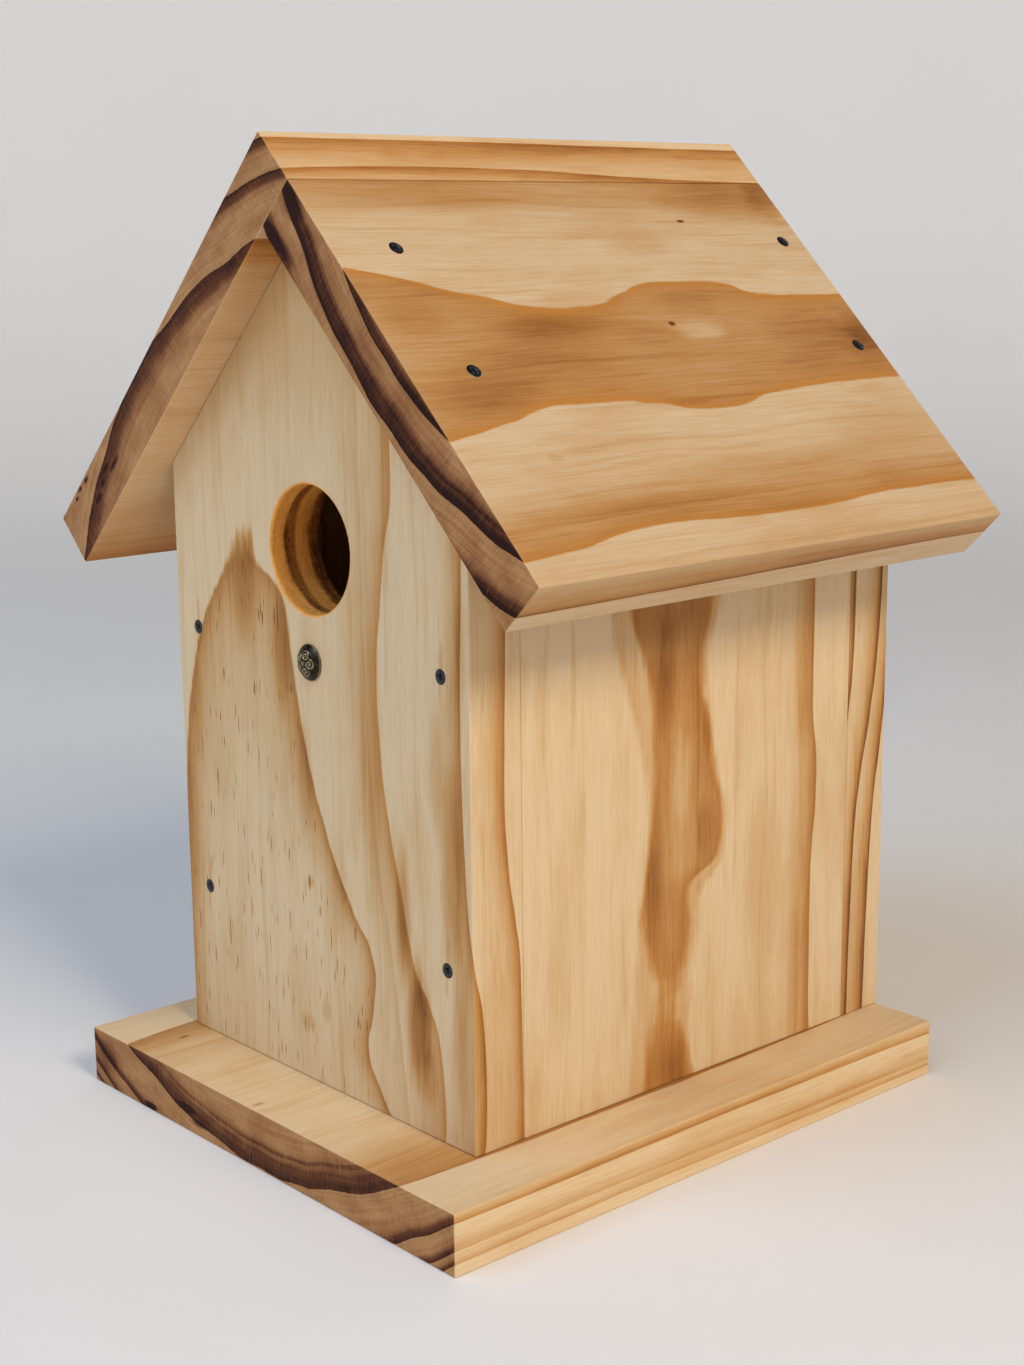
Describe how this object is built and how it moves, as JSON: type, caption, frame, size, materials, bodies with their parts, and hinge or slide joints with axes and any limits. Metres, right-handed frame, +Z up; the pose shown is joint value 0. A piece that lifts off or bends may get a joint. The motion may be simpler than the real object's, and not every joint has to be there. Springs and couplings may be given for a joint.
{
  "type": "gabled birdhouse",
  "caption": "Gabled wooden nest box with a round entrance hole, lapped pitched roof, wide base board, screwed joints and a domed tack under the hole.",
  "frame": {"origin": "centre of the base board's underside, on the surface that the birdhouse stands on", "axes": "+X to the right seen from the front, +Y from the front panel to the back panel, +Z up"},
  "size_m": [0.2304, 0.2043, 0.3002],
  "materials": {
    "clear_pine": "satin clear coat over planed and sanded pine",
    "black_screw": "black phosphate, slightly glossy",
    "antique_brass": "darkened antique brass, bright on the raised parts"
  },
  "bodies": {
    "base": {"base_board": "clear_pine", "base_screw_front_left": "black_screw", "base_screw_front_right": "black_screw", "base_screw_rear_left": "black_screw", "base_screw_rear_right": "black_screw"},
    "house": {"front_panel": "clear_pine", "back_panel": "clear_pine", "left_side": "clear_pine", "right_side": "clear_pine", "left_roof_board": "clear_pine", "right_roof_board": "clear_pine", "tack": "antique_brass", "front_screw_upper_left": "black_screw", "front_screw_upper_right": "black_screw", "front_screw_lower_left": "black_screw", "front_screw_lower_right": "black_screw", "back_screw_upper_left": "black_screw", "back_screw_upper_right": "black_screw", "back_screw_lower_left": "black_screw", "back_screw_lower_right": "black_screw", "left_roof_screw_front_upper": "black_screw", "left_roof_screw_front_lower": "black_screw", "left_roof_screw_rear_upper": "black_screw", "left_roof_screw_rear_lower": "black_screw", "right_roof_screw_front_upper": "black_screw", "right_roof_screw_front_lower": "black_screw", "right_roof_screw_rear_upper": "black_screw", "right_roof_screw_rear_lower": "black_screw"}
  },
  "joints": [
    {"name": "house_lift", "type": "slide", "parent": "base", "child": "house", "axis": [0, 0, 1], "range_m": [0, 0.1]}
  ]
}
